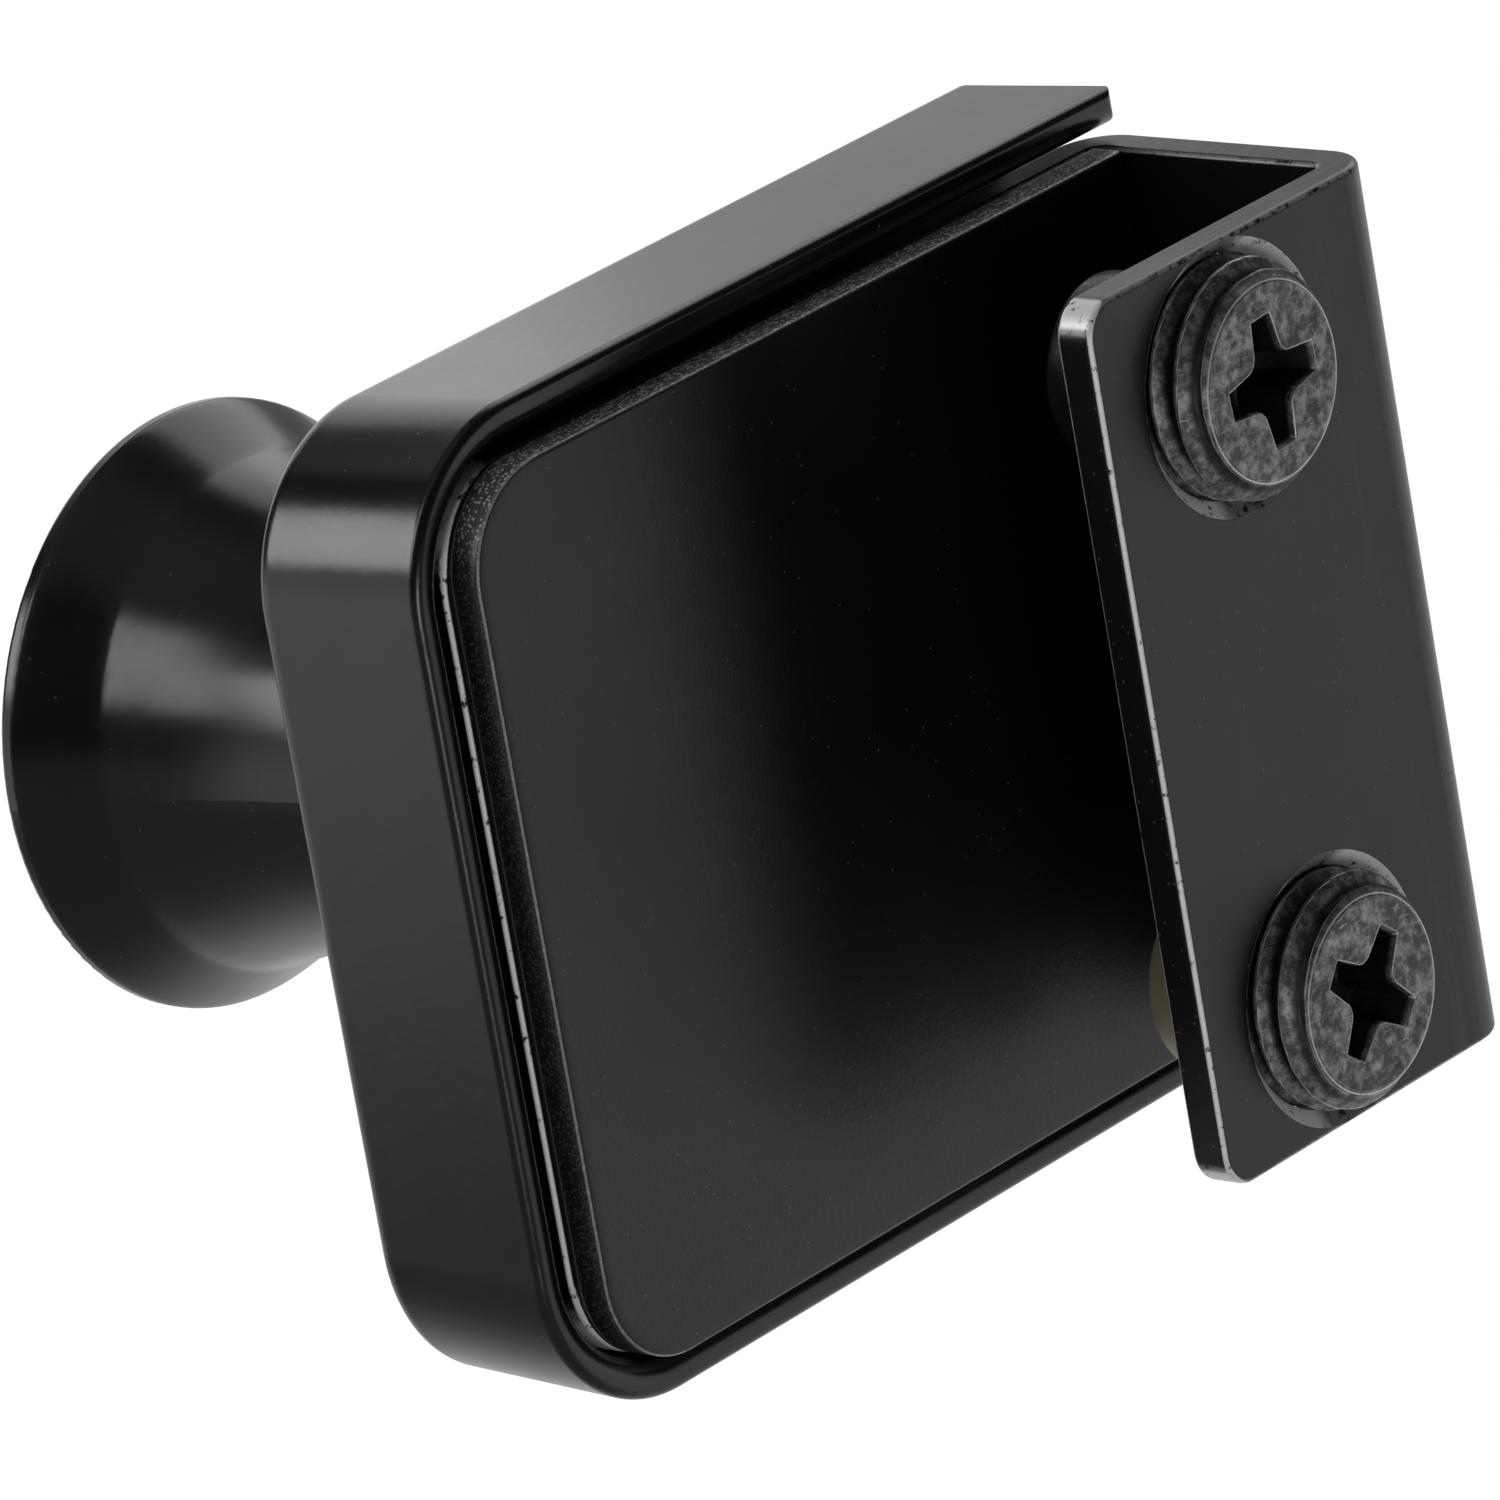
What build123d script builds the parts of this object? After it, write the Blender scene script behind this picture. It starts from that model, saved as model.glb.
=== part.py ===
"""Clamp-on pull for a frameless glass door: a spool knob on a shallow tray, and a steel U-channel with two
clamp screws that grips the edge of the glass.

Frame: the origin is where the knob's axis meets the glass-side face of the rubber pad. +Y points through the
glass, away from the knob, +Z is up, and +X points away from the edge of the glass. Sizes are in millimetres.
"""
from build123d import *
import os

# Tray, the shallow cap behind the knob
tray_height = 34.0
tray_to_outer_end = 17.2
tray_to_open_end = 19.75
tray_wall = 1.3
tray_floor = 1.7
tray_lean = 0.4
tray_corner_radius = 5.7
tray_front_rounding = 0.7
tray_end_rounding = 0.35
rim_outer_rounding = 0.3
rim_inner_rounding = 0.75
pad_above_rim = 1.15

# Bosses cast in the tray, and the screws that hold the channel to them
boss_radius = 2.9
boss_x = 8.5
boss_to_channel_edge = 5.8
flange_screw_radius = 1.5
flange_screw_head_radius = 2.7
flange_screw_length = 4.0
flange_screw_recess_span = 2.6
flange_screw_recess_depth = 0.9
flange_screw_recess_width = 0.6
tapped_depth_beyond_screw = 0.3

# Channel bent from steel strip
sheet = 1.4
channel_depth = 12.35
front_flange_to_end_wall = 0.2
front_flange_corner_radius = 3.8
web_beyond_tray = 0.2
rear_flange_length = 15.75
rear_flange_corner_radius = 1.3
bend_inner_radius = 0.5
sheet_edge_rounding = 0.2

# Rubber pad on the front flange
pad_thickness = 1.15
pad_adhesive_thickness = 0.15
pad_end_inset = 0.25
pad_corner_radius = 3.5
pad_to_web = 0.25

# Knob
knob_length = 20.0
knob_rim_radius = 10.35
knob_rim_land = 0.5
knob_foot_radius = 6.5
knob_waist_radius = 6.6
knob_waist_reach = 11.0
knob_flare_radius = 8.8
knob_flare_inner_radius = 7.85
knob_flare_reach = 3.1
knob_lip_length = 2.7
knob_lip_reach = 0.5
knob_edge_rounding = 0.25
knob_face_land = 1.8
knob_face_recess = 0.35

# Screw and washer that hold the knob to the tray
knob_screw_radius = 2.0
knob_screw_length = 10.0
knob_screw_head_radius = 4.2
knob_screw_head_height = 2.2
knob_screw_recess_span = 4.0
knob_screw_recess_depth = 1.0
knob_screw_recess_width = 0.9
knob_washer_thickness = 0.5
knob_washer_radius = 4.2

# Clamp screws, fine thread 8 mm by 1 mm
clamp_screw_radius = 4.0
clamp_screw_length = 4.4
clamp_screw_end_chamfer = 0.65
clamp_screw_tip_chamfer = 0.5
clamp_screw_to_channel_edge = 4.65
clamp_screw_to_rear_edge = 6.75
clamp_screw_recess_span = 4.4
clamp_screw_recess_depth = 2.1
clamp_screw_recess_width = 1.35
clamp_screw_recess_turn = {"upper": 4.0, "lower": -37.0}
hole_rim_width = 0.55

# Press-on cups and rubber discs at the tips of the clamp screws
glass_gap = 4.25
cup_radius = 3.15
cup_thickness = 1.4
cup_floor = 0.4
cup_lip = 0.35
disc_radius = 3.15
disc_thickness = 1.1
disc_adhesive_thickness = 0.1
spigot_neck_radius = 1.5
spigot_head_radius = 1.9

# Draft of every cross recess, in degrees
recess_taper = 8.0

# Clearances
thread_clearance = 0.05
screw_pass_clearance = 0.15
snap_clearance = 0.08
tray_side_clearance = 0.4
knob_screw_head_clearance = 1.15
film_to_bend = 0.1

# Heights, from the tray's outside inwards
channel_height = tray_height - 2 * (tray_wall + tray_side_clearance)
boss_spacing = channel_height - 2 * boss_to_channel_edge
clamp_screw_spacing = channel_height - 2 * clamp_screw_to_channel_edge

# Depths along Y, counted from the glass-side face of the rubber pad
flange_face_y = -(pad_thickness + pad_adhesive_thickness)
flange_front_y = flange_face_y - sheet
rim_y = -pad_above_rim
knob_screw_top_y = flange_front_y - knob_screw_head_clearance
knob_screw_seat_y = knob_screw_top_y - knob_screw_head_height
floor_y = knob_screw_seat_y - knob_washer_thickness
tray_front_y = floor_y - tray_floor
pocket_lean = tray_lean * (rim_y - floor_y) / (rim_y - tray_front_y)
rear_outer_y = flange_front_y + channel_depth
rear_inner_y = rear_outer_y - sheet
disc_back_y = glass_gap + disc_thickness
cup_front_y = disc_back_y + disc_adhesive_thickness
cup_back_y = cup_front_y + cup_thickness
clamp_screw_end_y = cup_back_y + clamp_screw_length

# Places along X
tray_end_x = tray_to_outer_end
tray_open_x = -tray_to_open_end
tray_pocket_end_x = tray_end_x - tray_wall
flange_end_x = tray_pocket_end_x - front_flange_to_end_wall
web_outer_x = tray_open_x - web_beyond_tray
web_inner_x = web_outer_x + sheet
rear_edge_x = web_outer_x + rear_flange_length
clamp_screw_x = rear_edge_x - clamp_screw_to_rear_edge
pad_end_x = flange_end_x - pad_end_inset
pad_web_side_x = web_inner_x + pad_to_web
film_web_side_x = web_inner_x + bend_inner_radius + film_to_bend


def depth_plane(y):
    """Sketch plane square to the glass at depth y: its x is X, its y is Z, and it extrudes towards the knob."""
    return Plane.XZ.offset(-y)


def turning_plane(x, z):
    """Sketch plane for a turned profile about the line along Y through x and z: radius first, then depth."""
    return Plane(origin=(x, 0, z))


def turning_axis(x, z):
    """The line along Y through x and z."""
    return Axis((x, 0, z), (0, 1, 0))


def rear_plane(x, y, z):
    """Plane square to the glass at a point, facing away from the knob, with its x along Z."""
    return Plane(origin=(x, y, z), x_dir=(0, 0, 1), z_dir=(0, 1, 0))


def rounded_end_outline(low_x, high_x, height, radius):
    """Adds a rectangle between two places along X, with its two corners at the high end rounded."""
    with Locations(((low_x + high_x) / 2, 0)):
        Rectangle(high_x - low_x, height)
    fillet(vertices().group_by(Axis.X)[-1], radius)


def cross_outline(span, width):
    """Adds the outline of a cross recess to the sketch that is being drawn."""
    Rectangle(span, width)
    Rectangle(width, span)


def is_sheet_step(edge):
    """Whether an edge only crosses the thickness of the sheet."""
    return edge.geom_type == GeomType.LINE and abs(edge.length - sheet) < sheet_edge_rounding / 10


def write(piece, name):
    """Labels a finished piece and writes it under its name."""
    piece.part.label = name
    export_step(piece.part, "parts/" + name + ".step")


os.makedirs("parts", exist_ok=True)

# Knob: a turned spool whose waist flares to a wide, thin rim, with a shallow recess in its face
knob_front_y = tray_front_y - knob_length
knob_lip_y = knob_front_y + knob_rim_land
knob_flare_y = knob_lip_y + knob_lip_length
knob_flare_slope = (knob_flare_radius - knob_flare_inner_radius) / knob_flare_reach
knob_recess_radius = knob_rim_radius - knob_face_land
with BuildPart() as knob:
    with BuildSketch(turning_plane(0, 0)):
        with BuildLine():
            Bezier(
                (knob_foot_radius, tray_front_y),
                (knob_waist_radius, tray_front_y - knob_waist_reach),
                (knob_flare_inner_radius, knob_flare_y + knob_flare_reach),
                (knob_flare_radius, knob_flare_y),
            )
            Bezier(
                (knob_flare_radius, knob_flare_y),
                (knob_flare_radius + knob_flare_slope * knob_lip_reach, knob_flare_y - knob_lip_reach),
                (knob_rim_radius, knob_lip_y + knob_lip_reach / 2),
                (knob_rim_radius, knob_lip_y),
            )
            Polyline(
                (knob_rim_radius, knob_lip_y),
                (knob_rim_radius, knob_front_y),
                (knob_recess_radius, knob_front_y),
                (knob_recess_radius - knob_face_recess, knob_front_y + knob_face_recess),
                (0, knob_front_y + knob_face_recess),
                (0, tray_front_y),
                (knob_foot_radius, tray_front_y),
            )
        make_face()
    revolve(axis=turning_axis(0, 0))
    face_edges = knob.edges().filter_by(GeomType.CIRCLE).group_by(Axis.Y)[0]
    fillet(face_edges, knob_edge_rounding)
    with Locations(rear_plane(0, tray_front_y, 0)):
        Hole(knob_screw_radius + thread_clearance, depth=knob_screw_length)
write(knob, "knob")

# Tray: a cap with a floor and three walls, open at the edge of the glass
with BuildPart() as tray:
    with BuildSketch(depth_plane(rim_y)):
        rounded_end_outline(tray_open_x, tray_end_x, tray_height, tray_corner_radius)
    with BuildSketch(depth_plane(tray_front_y)):
        rounded_end_outline(tray_open_x, tray_end_x, tray_height - 2 * tray_lean, tray_corner_radius)
    loft(ruled=True)
    front_edges = tray.faces().sort_by(Axis.Y)[0].edges()
    fillet(front_edges, tray_front_rounding)
    pocket_height = tray_height - 2 * tray_wall
    pocket_radius = tray_corner_radius - tray_wall
    with BuildSketch(depth_plane(rim_y)):
        rounded_end_outline(tray_open_x, tray_pocket_end_x, pocket_height, pocket_radius)
    with BuildSketch(depth_plane(floor_y)):
        rounded_end_outline(tray_open_x, tray_pocket_end_x, pocket_height - 2 * pocket_lean, pocket_radius)
    loft(ruled=True, mode=Mode.SUBTRACT)
    inner_rim_edge = tray.faces().sort_by(Axis.Y)[-1].edges().filter_by(Axis.Z).sort_by(Axis.X)[-2]
    fillet(inner_rim_edge, rim_inner_rounding)
    outer_rim_edge = tray.edges().filter_by(Axis.Z).group_by(Axis.Y)[-1].sort_by(Axis.X)[-1]
    fillet(outer_rim_edge, rim_outer_rounding)
    with BuildSketch(Plane.XY):
        with Locations((tray_open_x + tray_end_rounding / 2, rim_y - tray_end_rounding / 2)):
            Rectangle(tray_end_rounding, tray_end_rounding)
        with Locations((tray_open_x + tray_end_rounding, rim_y - tray_end_rounding)):
            Circle(tray_end_rounding, mode=Mode.SUBTRACT)
    extrude(amount=tray_height / 2, both=True, mode=Mode.SUBTRACT)
    with BuildSketch(depth_plane(flange_front_y)):
        with Locations((boss_x, boss_spacing / 2), (boss_x, -boss_spacing / 2)):
            Circle(boss_radius)
    extrude(until=Until.NEXT)
    with Locations(rear_plane(boss_x, flange_front_y, 0)):
        with GridLocations(boss_spacing, 0, 2, 1):
            Hole(
                flange_screw_radius + thread_clearance,
                depth=flange_screw_length - sheet + tapped_depth_beyond_screw,
            )
    with Locations(rear_plane(0, floor_y, 0)):
        Hole(knob_screw_radius + screw_pass_clearance, depth=tray_floor)
write(tray, "tray")

# Channel: strip bent to a U, with a front flange in the tray, a web past its open end and a rear flange
with BuildPart() as clamp_channel:
    with BuildSketch(Plane.XY.offset(-channel_height / 2)):
        with BuildLine():
            FilletPolyline(
                (flange_end_x, flange_face_y - sheet / 2),
                (web_outer_x + sheet / 2, flange_face_y - sheet / 2),
                (web_outer_x + sheet / 2, rear_inner_y + sheet / 2),
                (rear_edge_x, rear_inner_y + sheet / 2),
                radius=bend_inner_radius + sheet / 2,
            )
        trace(line_width=sheet)
    extrude(amount=channel_height)
    sheet_corners = clamp_channel.edges().filter_by(Axis.Y)
    front_corners = sheet_corners.group_by(Axis.Y)[0].group_by(Axis.X)[-1]
    rear_corners = sheet_corners.group_by(Axis.Y)[-1].group_by(Axis.X)[-1]
    fillet(front_corners, front_flange_corner_radius)
    fillet(rear_corners, rear_flange_corner_radius)
    side_edges = clamp_channel.faces().filter_by(Plane.XY).edges()
    fillet(side_edges.filter_by(lambda edge: not is_sheet_step(edge)), sheet_edge_rounding)
    with Locations(rear_plane(clamp_screw_x, rear_outer_y, 0)):
        with GridLocations(clamp_screw_spacing, 0, 2, 1):
            CounterSinkHole(
                clamp_screw_radius + thread_clearance,
                clamp_screw_radius + thread_clearance + hole_rim_width,
                depth=sheet,
                counter_sink_angle=90,
            )
    with Locations(rear_plane(boss_x, flange_face_y, 0)):
        with GridLocations(boss_spacing, 0, 2, 1):
            CounterSinkHole(
                flange_screw_radius + screw_pass_clearance,
                flange_screw_head_radius + screw_pass_clearance,
                depth=sheet,
                counter_sink_angle=90,
            )
write(clamp_channel, "clamp_channel")

# Rubber pad and the adhesive film that holds it to the front flange
with BuildPart() as glass_pad:
    with BuildSketch(depth_plane(0)):
        rounded_end_outline(pad_web_side_x, pad_end_x, channel_height, pad_corner_radius)
    extrude(amount=pad_thickness)
write(glass_pad, "glass_pad")

with BuildPart() as pad_adhesive:
    with BuildSketch(depth_plane(-pad_thickness)):
        rounded_end_outline(film_web_side_x, pad_end_x, channel_height, pad_corner_radius)
    extrude(amount=pad_adhesive_thickness)
write(pad_adhesive, "pad_adhesive")

# Washer under the head of the knob's screw
with BuildPart() as knob_washer:
    with BuildSketch(depth_plane(knob_screw_seat_y)):
        Circle(knob_washer_radius)
        Circle(knob_screw_radius + screw_pass_clearance, mode=Mode.SUBTRACT)
    extrude(amount=knob_washer_thickness)
write(knob_washer, "knob_washer")

# Screw from inside the tray into the knob, with a low wide head
with BuildPart() as knob_screw:
    with BuildSketch(depth_plane(knob_screw_top_y)):
        Circle(knob_screw_head_radius)
    extrude(amount=knob_screw_head_height)
    fillet(knob_screw.edges().group_by(Axis.Y)[-1], knob_screw_head_height / 3)
    with BuildSketch(depth_plane(knob_screw_seat_y)):
        Circle(knob_screw_radius)
    extrude(amount=knob_screw_length)
    chamfer(knob_screw.edges().group_by(Axis.Y)[0], knob_screw_radius / 5)
    with BuildSketch(rear_plane(0, knob_screw_top_y, 0)):
        cross_outline(knob_screw_recess_span, knob_screw_recess_width)
    extrude(amount=-knob_screw_recess_depth, taper=recess_taper, mode=Mode.SUBTRACT)
write(knob_screw, "knob_screw")


def flange_screw(z):
    """Countersunk screw at height z, flush with the front flange, turned into a boss of the tray."""
    cone = flange_screw_head_radius - flange_screw_radius
    with BuildPart() as screw:
        with BuildSketch(turning_plane(boss_x, z)):
            with BuildLine():
                Polyline(
                    (0, flange_face_y),
                    (flange_screw_head_radius, flange_face_y),
                    (flange_screw_radius, flange_face_y - cone),
                    (flange_screw_radius, flange_face_y - flange_screw_length),
                    (0, flange_face_y - flange_screw_length),
                    close=True,
                )
            make_face()
        revolve(axis=turning_axis(boss_x, z))
        with BuildSketch(rear_plane(boss_x, flange_face_y, z)):
            cross_outline(flange_screw_recess_span, flange_screw_recess_width)
        extrude(amount=-flange_screw_recess_depth, taper=recess_taper, mode=Mode.SUBTRACT)
    return screw


def clamp_screw(z, recess_turn):
    """Clamp screw at height z: plain at its thread's major radius, with a spigot that its cup snaps onto."""
    head_y = cup_front_y + cup_floor + snap_clearance
    neck_y = cup_back_y - cup_lip - snap_clearance
    with BuildPart() as screw:
        with BuildSketch(turning_plane(clamp_screw_x, z)):
            with BuildLine():
                Polyline(
                    (0, head_y),
                    (spigot_head_radius, head_y),
                    (spigot_head_radius, neck_y),
                    (spigot_neck_radius, neck_y),
                    (spigot_neck_radius, cup_back_y + snap_clearance),
                    (clamp_screw_radius - clamp_screw_tip_chamfer, cup_back_y + snap_clearance),
                    (clamp_screw_radius, cup_back_y + snap_clearance + clamp_screw_tip_chamfer),
                    (clamp_screw_radius, clamp_screw_end_y - clamp_screw_end_chamfer),
                    (clamp_screw_radius - clamp_screw_end_chamfer, clamp_screw_end_y),
                    (0, clamp_screw_end_y),
                    close=True,
                )
            make_face()
        revolve(axis=turning_axis(clamp_screw_x, z))
        with BuildSketch(rear_plane(clamp_screw_x, clamp_screw_end_y, z)):
            with Locations(Rotation(0, 0, recess_turn)):
                cross_outline(clamp_screw_recess_span, clamp_screw_recess_width)
        extrude(amount=-clamp_screw_recess_depth, taper=recess_taper, mode=Mode.SUBTRACT)
    return screw


def pressure_cup(z):
    """Nylon cup at height z, with an undercut pocket that snaps over the clamp screw's spigot."""
    with BuildPart() as cup:
        with BuildSketch(turning_plane(clamp_screw_x, z)):
            with BuildLine():
                Polyline(
                    (0, cup_front_y),
                    (cup_radius, cup_front_y),
                    (cup_radius, cup_back_y),
                    (spigot_neck_radius + snap_clearance, cup_back_y),
                    (spigot_neck_radius + snap_clearance, cup_back_y - cup_lip),
                    (spigot_head_radius + snap_clearance, cup_back_y - cup_lip),
                    (spigot_head_radius + snap_clearance, cup_front_y + cup_floor),
                    (0, cup_front_y + cup_floor),
                    close=True,
                )
            make_face()
        revolve(axis=turning_axis(clamp_screw_x, z))
    return cup


def tip_disc(z, radius, front_y, thickness):
    """Flat disc on a clamp screw's axis at height z, such as the rubber face or its adhesive."""
    with BuildPart() as disc:
        with BuildSketch(rear_plane(clamp_screw_x, front_y, z)):
            Circle(radius)
        extrude(amount=thickness)
    return disc


# The fasteners and tips, one set above and one set below the middle
for side, sign in (("upper", 1), ("lower", -1)):
    screw_z = sign * clamp_screw_spacing / 2
    write(flange_screw(sign * boss_spacing / 2), side + "_flange_screw")
    write(clamp_screw(screw_z, clamp_screw_recess_turn[side]), side + "_clamp_screw")
    write(pressure_cup(screw_z), side + "_pressure_cup")
    write(tip_disc(screw_z, disc_radius, disc_back_y, disc_adhesive_thickness), side + "_disc_adhesive")
    write(tip_disc(screw_z, disc_radius, glass_gap, disc_thickness), side + "_grip_disc")
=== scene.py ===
"""Clamp-on pull for a frameless glass door, dressed for rendering.

The tray, the knob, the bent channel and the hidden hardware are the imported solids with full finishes. The
rubber pad, the threaded clamp screws, their cups and the discs at their tips are surfaces computed here.
Lengths are in metres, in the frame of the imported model: +Y through the glass and away from the knob, +Z up,
and +X away from the edge of the glass.
"""

import math

import bmesh
import bpy
import numpy as np
from bpy.props import FloatProperty, FloatVectorProperty, PointerProperty
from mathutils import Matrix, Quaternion, Vector


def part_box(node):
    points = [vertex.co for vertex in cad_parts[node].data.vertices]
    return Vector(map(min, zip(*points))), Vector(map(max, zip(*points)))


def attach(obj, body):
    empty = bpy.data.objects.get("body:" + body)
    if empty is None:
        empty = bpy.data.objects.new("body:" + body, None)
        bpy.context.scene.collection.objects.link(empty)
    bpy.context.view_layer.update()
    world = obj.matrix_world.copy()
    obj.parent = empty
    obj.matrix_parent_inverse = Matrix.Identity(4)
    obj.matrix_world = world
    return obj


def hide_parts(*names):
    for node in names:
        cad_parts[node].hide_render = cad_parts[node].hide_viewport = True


bl_info = {
    "name": "Glass Door Pull",
    "version": (1, 0, 0),
    "blender": (4, 5, 0),
    "location": "View3D > Sidebar > Glass Pull",
    "description": "Builds the fine pieces and the finishes of a clamp-on pull for a glass door",
    "category": "Object",
}

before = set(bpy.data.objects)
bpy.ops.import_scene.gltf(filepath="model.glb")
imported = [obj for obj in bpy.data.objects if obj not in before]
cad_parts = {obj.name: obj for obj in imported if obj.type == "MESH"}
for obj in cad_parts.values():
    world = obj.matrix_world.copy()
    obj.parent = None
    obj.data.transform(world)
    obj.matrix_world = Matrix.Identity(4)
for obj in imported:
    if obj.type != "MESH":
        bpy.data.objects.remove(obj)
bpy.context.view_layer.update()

MM = 0.001
MERGE_DISTANCE = 1e-6
SIDES = ("upper", "lower")
TURNED_STEPS = 96
ARC_STEPS = 6
SHARP_ANGLE = math.radians(40)
THREAD_SHARP_ANGLE = math.radians(32)


def corners(node):
    """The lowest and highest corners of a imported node, as arrays in metres."""
    low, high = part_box(node)
    return np.array(low), np.array(high)


# Sizes and colours that a user would change


def length(name, description, default):
    """A length property."""
    return FloatProperty(name=name, description=description, default=default, unit="LENGTH")


def colour(name, description, default):
    """A colour property."""
    return FloatVectorProperty(
        name=name, description=description, default=default, subtype="COLOR", min=0, max=1
    )


class ClampScrewSizes(bpy.types.PropertyGroup):
    """Sizes of the two clamp screws."""

    pitch: length("Thread Pitch", "Distance between two crests", 1.0 * MM)
    thread_depth: length("Thread Depth", "From crest to root, along the radius", 0.6 * MM)
    face_radius: length("Face Radius", "Radius of the flat end that carries the recess", 3.3 * MM)
    end_run: length(
        "End Run", "Length over which the crests grow from the end face to full size", 0.75 * MM
    )
    recess_span: length("Recess Span", "Cross recess from the tip of one arm to the opposite one", 4.4 * MM)
    recess_tip_width: length("Arm Width At Tip", "Width of a recess arm at its tip", 1.0 * MM)
    recess_root_width: length(
        "Arm Width At Root", "Width of a recess arm, carried to the middle of the cross", 1.6 * MM
    )
    recess_corner: length("Recess Corner", "Rounding of the metal between two arms", 0.5 * MM)
    recess_depth: length("Recess Depth", "Depth of the cross recess", 2.0 * MM)
    upper_turn: FloatProperty(
        name="Upper Recess Turn", description="Angle of the upper recess about its axis",
        default=math.radians(4), subtype="ANGLE",
    )
    lower_turn: FloatProperty(
        name="Lower Recess Turn", description="Angle of the lower recess about its axis",
        default=math.radians(-37), subtype="ANGLE",
    )


class SoftPartSizes(bpy.types.PropertyGroup):
    """Sizes of the rubber and nylon pieces that touch the glass."""

    pad_corner: length("Pad Corner", "Radius of the pad's two corners at the tray's closed end", 3.5 * MM)
    pad_edge: length("Pad Edge", "Softening of the pad's cut edge", 0.12 * MM)
    disc_edge: length("Disc Edge", "Softening of a tip disc's edge", 0.18 * MM)
    cup_edge: length("Cup Edge", "Rounding of a nylon cup's edges", 0.2 * MM)
    cup_floor: length("Cup Floor", "Thickness of a cup under its pocket", 0.4 * MM)
    cup_lip: length("Cup Lip", "Depth of the lip that holds the spigot", 0.35 * MM)
    spigot_neck: length("Spigot Neck", "Radius of the spigot's neck", 1.5 * MM)
    spigot_head: length("Spigot Head", "Radius of the spigot's head", 1.9 * MM)
    fit_gap: length("Fit Gap", "Gap between a cup and its spigot", 0.08 * MM)


class FinishColours(bpy.types.PropertyGroup):
    """Colours of the finishes."""

    gloss_black: colour("Knob Black", "Gloss finish of the knob", (0.0030, 0.0030, 0.0031))
    tray_black: colour("Tray Black", "Satin finish of the tray", (0.0034, 0.0032, 0.0032))
    steel_black: colour("Channel Black", "Plating of the bent channel", (0.0032, 0.0032, 0.0033))
    bare_steel: colour("Bare Steel", "Steel that wear has uncovered", (0.88, 0.87, 0.86))
    rubber_black: colour("Rubber Black", "Pad and upper disc", (0.0034, 0.0034, 0.0035))
    # Also the colour of the painted highlight on the rubber's upward cut face and rounded edge.
    rubber_speck_and_highlight: colour("Rubber Speck", "Pale specks on cut rubber", (0.5, 0.5, 0.49))
    screw_dark: colour("Screw Dark", "Blackened steel of the clamp screws", (0.075, 0.075, 0.077))
    screw_scuffed: colour("Screw Scuffed", "Scuffed steel of the clamp screws", (0.55, 0.55, 0.55))
    nylon: colour("Nylon", "Cream nylon of the cups and of the lower disc", (0.50, 0.45, 0.30))
    zinc: colour("Zinc", "Zinc plating of the hidden screws", (0.62, 0.62, 0.63))
    adhesive: colour("Adhesive", "Adhesive film", (0.010, 0.010, 0.010))
    pale_adhesive: colour("Pale Adhesive", "Adhesive film of the lower disc", (0.45, 0.40, 0.27))


class StageSettings(bpy.types.PropertyGroup):
    """Floor and light levels."""

    floor_height: length("Floor Height", "Height of the pale floor", -0.16)
    floor_colour: colour("Floor Colour", "Colour of the pale floor", (0.96, 0.96, 0.96))
    floor_level: FloatProperty(
        name="Floor Level", description="Light that the floor gives to the part", default=0.78, min=0
    )
    room_level: FloatProperty(
        name="Room Level", description="Light of the room around the part", default=0.05, min=0
    )


# Mesh building


def grid_faces(rows, columns):
    """Quads between neighbouring rows and columns of a point grid, whose last column joins its first."""
    index = np.arange(rows * columns).reshape(rows, columns)
    index = np.concatenate([index, index[:, :1]], axis=1)
    quads = np.stack([index[:-1, :-1], index[1:, :-1], index[1:, 1:], index[:-1, 1:]], axis=-1)
    return quads.reshape(-1, 4)


def surface_piece(name, grid, sharp_angle):
    """One closed piece from a grid of points whose columns go round it. Rows that shrink to a point become
    a pole when equal points are merged."""
    rows, columns, _ = grid.shape
    mesh = bpy.data.meshes.new(name)
    mesh.from_pydata(grid.reshape(-1, 3).tolist(), [], grid_faces(rows, columns).tolist())
    work = bmesh.new()
    work.from_mesh(mesh)
    bmesh.ops.remove_doubles(work, verts=work.verts, dist=MERGE_DISTANCE)
    bmesh.ops.recalc_face_normals(work, faces=work.faces)
    work.to_mesh(mesh)
    work.free()
    mesh.polygons.foreach_set("use_smooth", np.ones(len(mesh.polygons), bool))
    mesh.set_sharp_from_angle(angle=sharp_angle)
    piece = bpy.data.objects.new(name, mesh)
    bpy.context.scene.collection.objects.link(piece)
    return piece


def rounded_chain(points, radii):
    """A chain of points whose corners are rounded. Each corner with a radius is replaced by the arc that
    touches both of its sides: it starts radius / tan(half the corner's angle) before the corner."""
    points = np.array(points, float)
    chain = [points[:1]]
    for before, corner, after, radius in zip(points[:-2], points[1:-1], points[2:], radii):
        if radius == 0:
            chain.append(corner[None])
            continue
        back = (before - corner) / np.linalg.norm(before - corner)
        ahead = (after - corner) / np.linalg.norm(after - corner)
        half_angle = math.acos(np.clip(back @ ahead, -1, 1)) / 2
        bisector = (back + ahead) / np.linalg.norm(back + ahead)
        centre = corner + bisector * radius / math.sin(half_angle)
        start = (corner + back * radius / math.tan(half_angle) - centre) / radius
        end = (corner + ahead * radius / math.tan(half_angle) - centre) / radius
        sweep = math.acos(np.clip(start @ end, -1, 1))
        part = np.linspace(0, 1, ARC_STEPS + 1)[:, None]
        arc = (np.sin((1 - part) * sweep) * start + np.sin(part * sweep) * end) / math.sin(sweep)
        chain.append(centre + radius * arc)
    chain.append(points[-1:])
    return np.concatenate(chain)


def turned_grid(profile, centre_x, centre_z, angles):
    """A turned surface: each profile point, a radius and a depth, goes round the line along Y through the
    centre, at the given angles from +Z towards +X."""
    radius, depth = profile[:, :1], profile[:, 1:]
    x = centre_x + radius * np.sin(angles)
    z = centre_z + radius * np.cos(angles)
    return np.stack([x, depth + 0 * x, z], axis=-1)


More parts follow.
